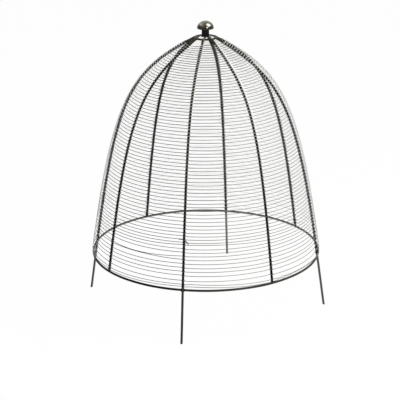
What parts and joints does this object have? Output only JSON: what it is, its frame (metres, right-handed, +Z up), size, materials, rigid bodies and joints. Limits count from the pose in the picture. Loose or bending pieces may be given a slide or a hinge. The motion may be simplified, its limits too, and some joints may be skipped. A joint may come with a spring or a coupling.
{
  "type": "wire plant protector",
  "caption": "Bell-shaped wire garden cloche that covers a plant: welded rod ribs wound with fine wire, a mushroom knob on the crown ring and push-in legs under the base ring.",
  "frame": {"origin": "on the ground at the centre of the dome, level with the cut ends of the legs", "axes": "+Z up along the dome's axis; the front leg is on -Y, the right leg on +X, the back leg on +Y and the left leg on -X"},
  "size_m": [0.47, 0.47, 0.55],
  "materials": {
    "ring_rod": "dark lacquer over mill scale, satin",
    "rib_rod": "dark lacquer over mill scale, satin",
    "leg_rod": "thin grey green lacquer, satin",
    "brazed_bar": "dark rod stained by brass braze",
    "neck_iron": "burnt black",
    "cap_pewter": "antique pewter plating, softly polished",
    "infill_wire": "galvanised, slightly dull"
  },
  "bodies": {
    "root": {"base_ring": "ring_rod", "crown_ring": "ring_rod", "cross_bar": "brazed_bar", "rib_front": "rib_rod", "rib_front_right": "rib_rod", "rib_right": "rib_rod", "rib_back_right": "rib_rod", "rib_back": "rib_rod", "rib_back_left": "rib_rod", "rib_left": "rib_rod", "rib_front_left": "rib_rod", "leg_front": "leg_rod", "leg_right": "leg_rod", "leg_back": "leg_rod", "leg_left": "leg_rod", "knob_neck": "neck_iron", "knob_cap": "cap_pewter", "infill_wire_crown": "infill_wire", "infill_wire_shoulder": "infill_wire", "infill_wire_flank": "infill_wire", "infill_wire_skirt": "infill_wire"}
  },
  "joints": []
}
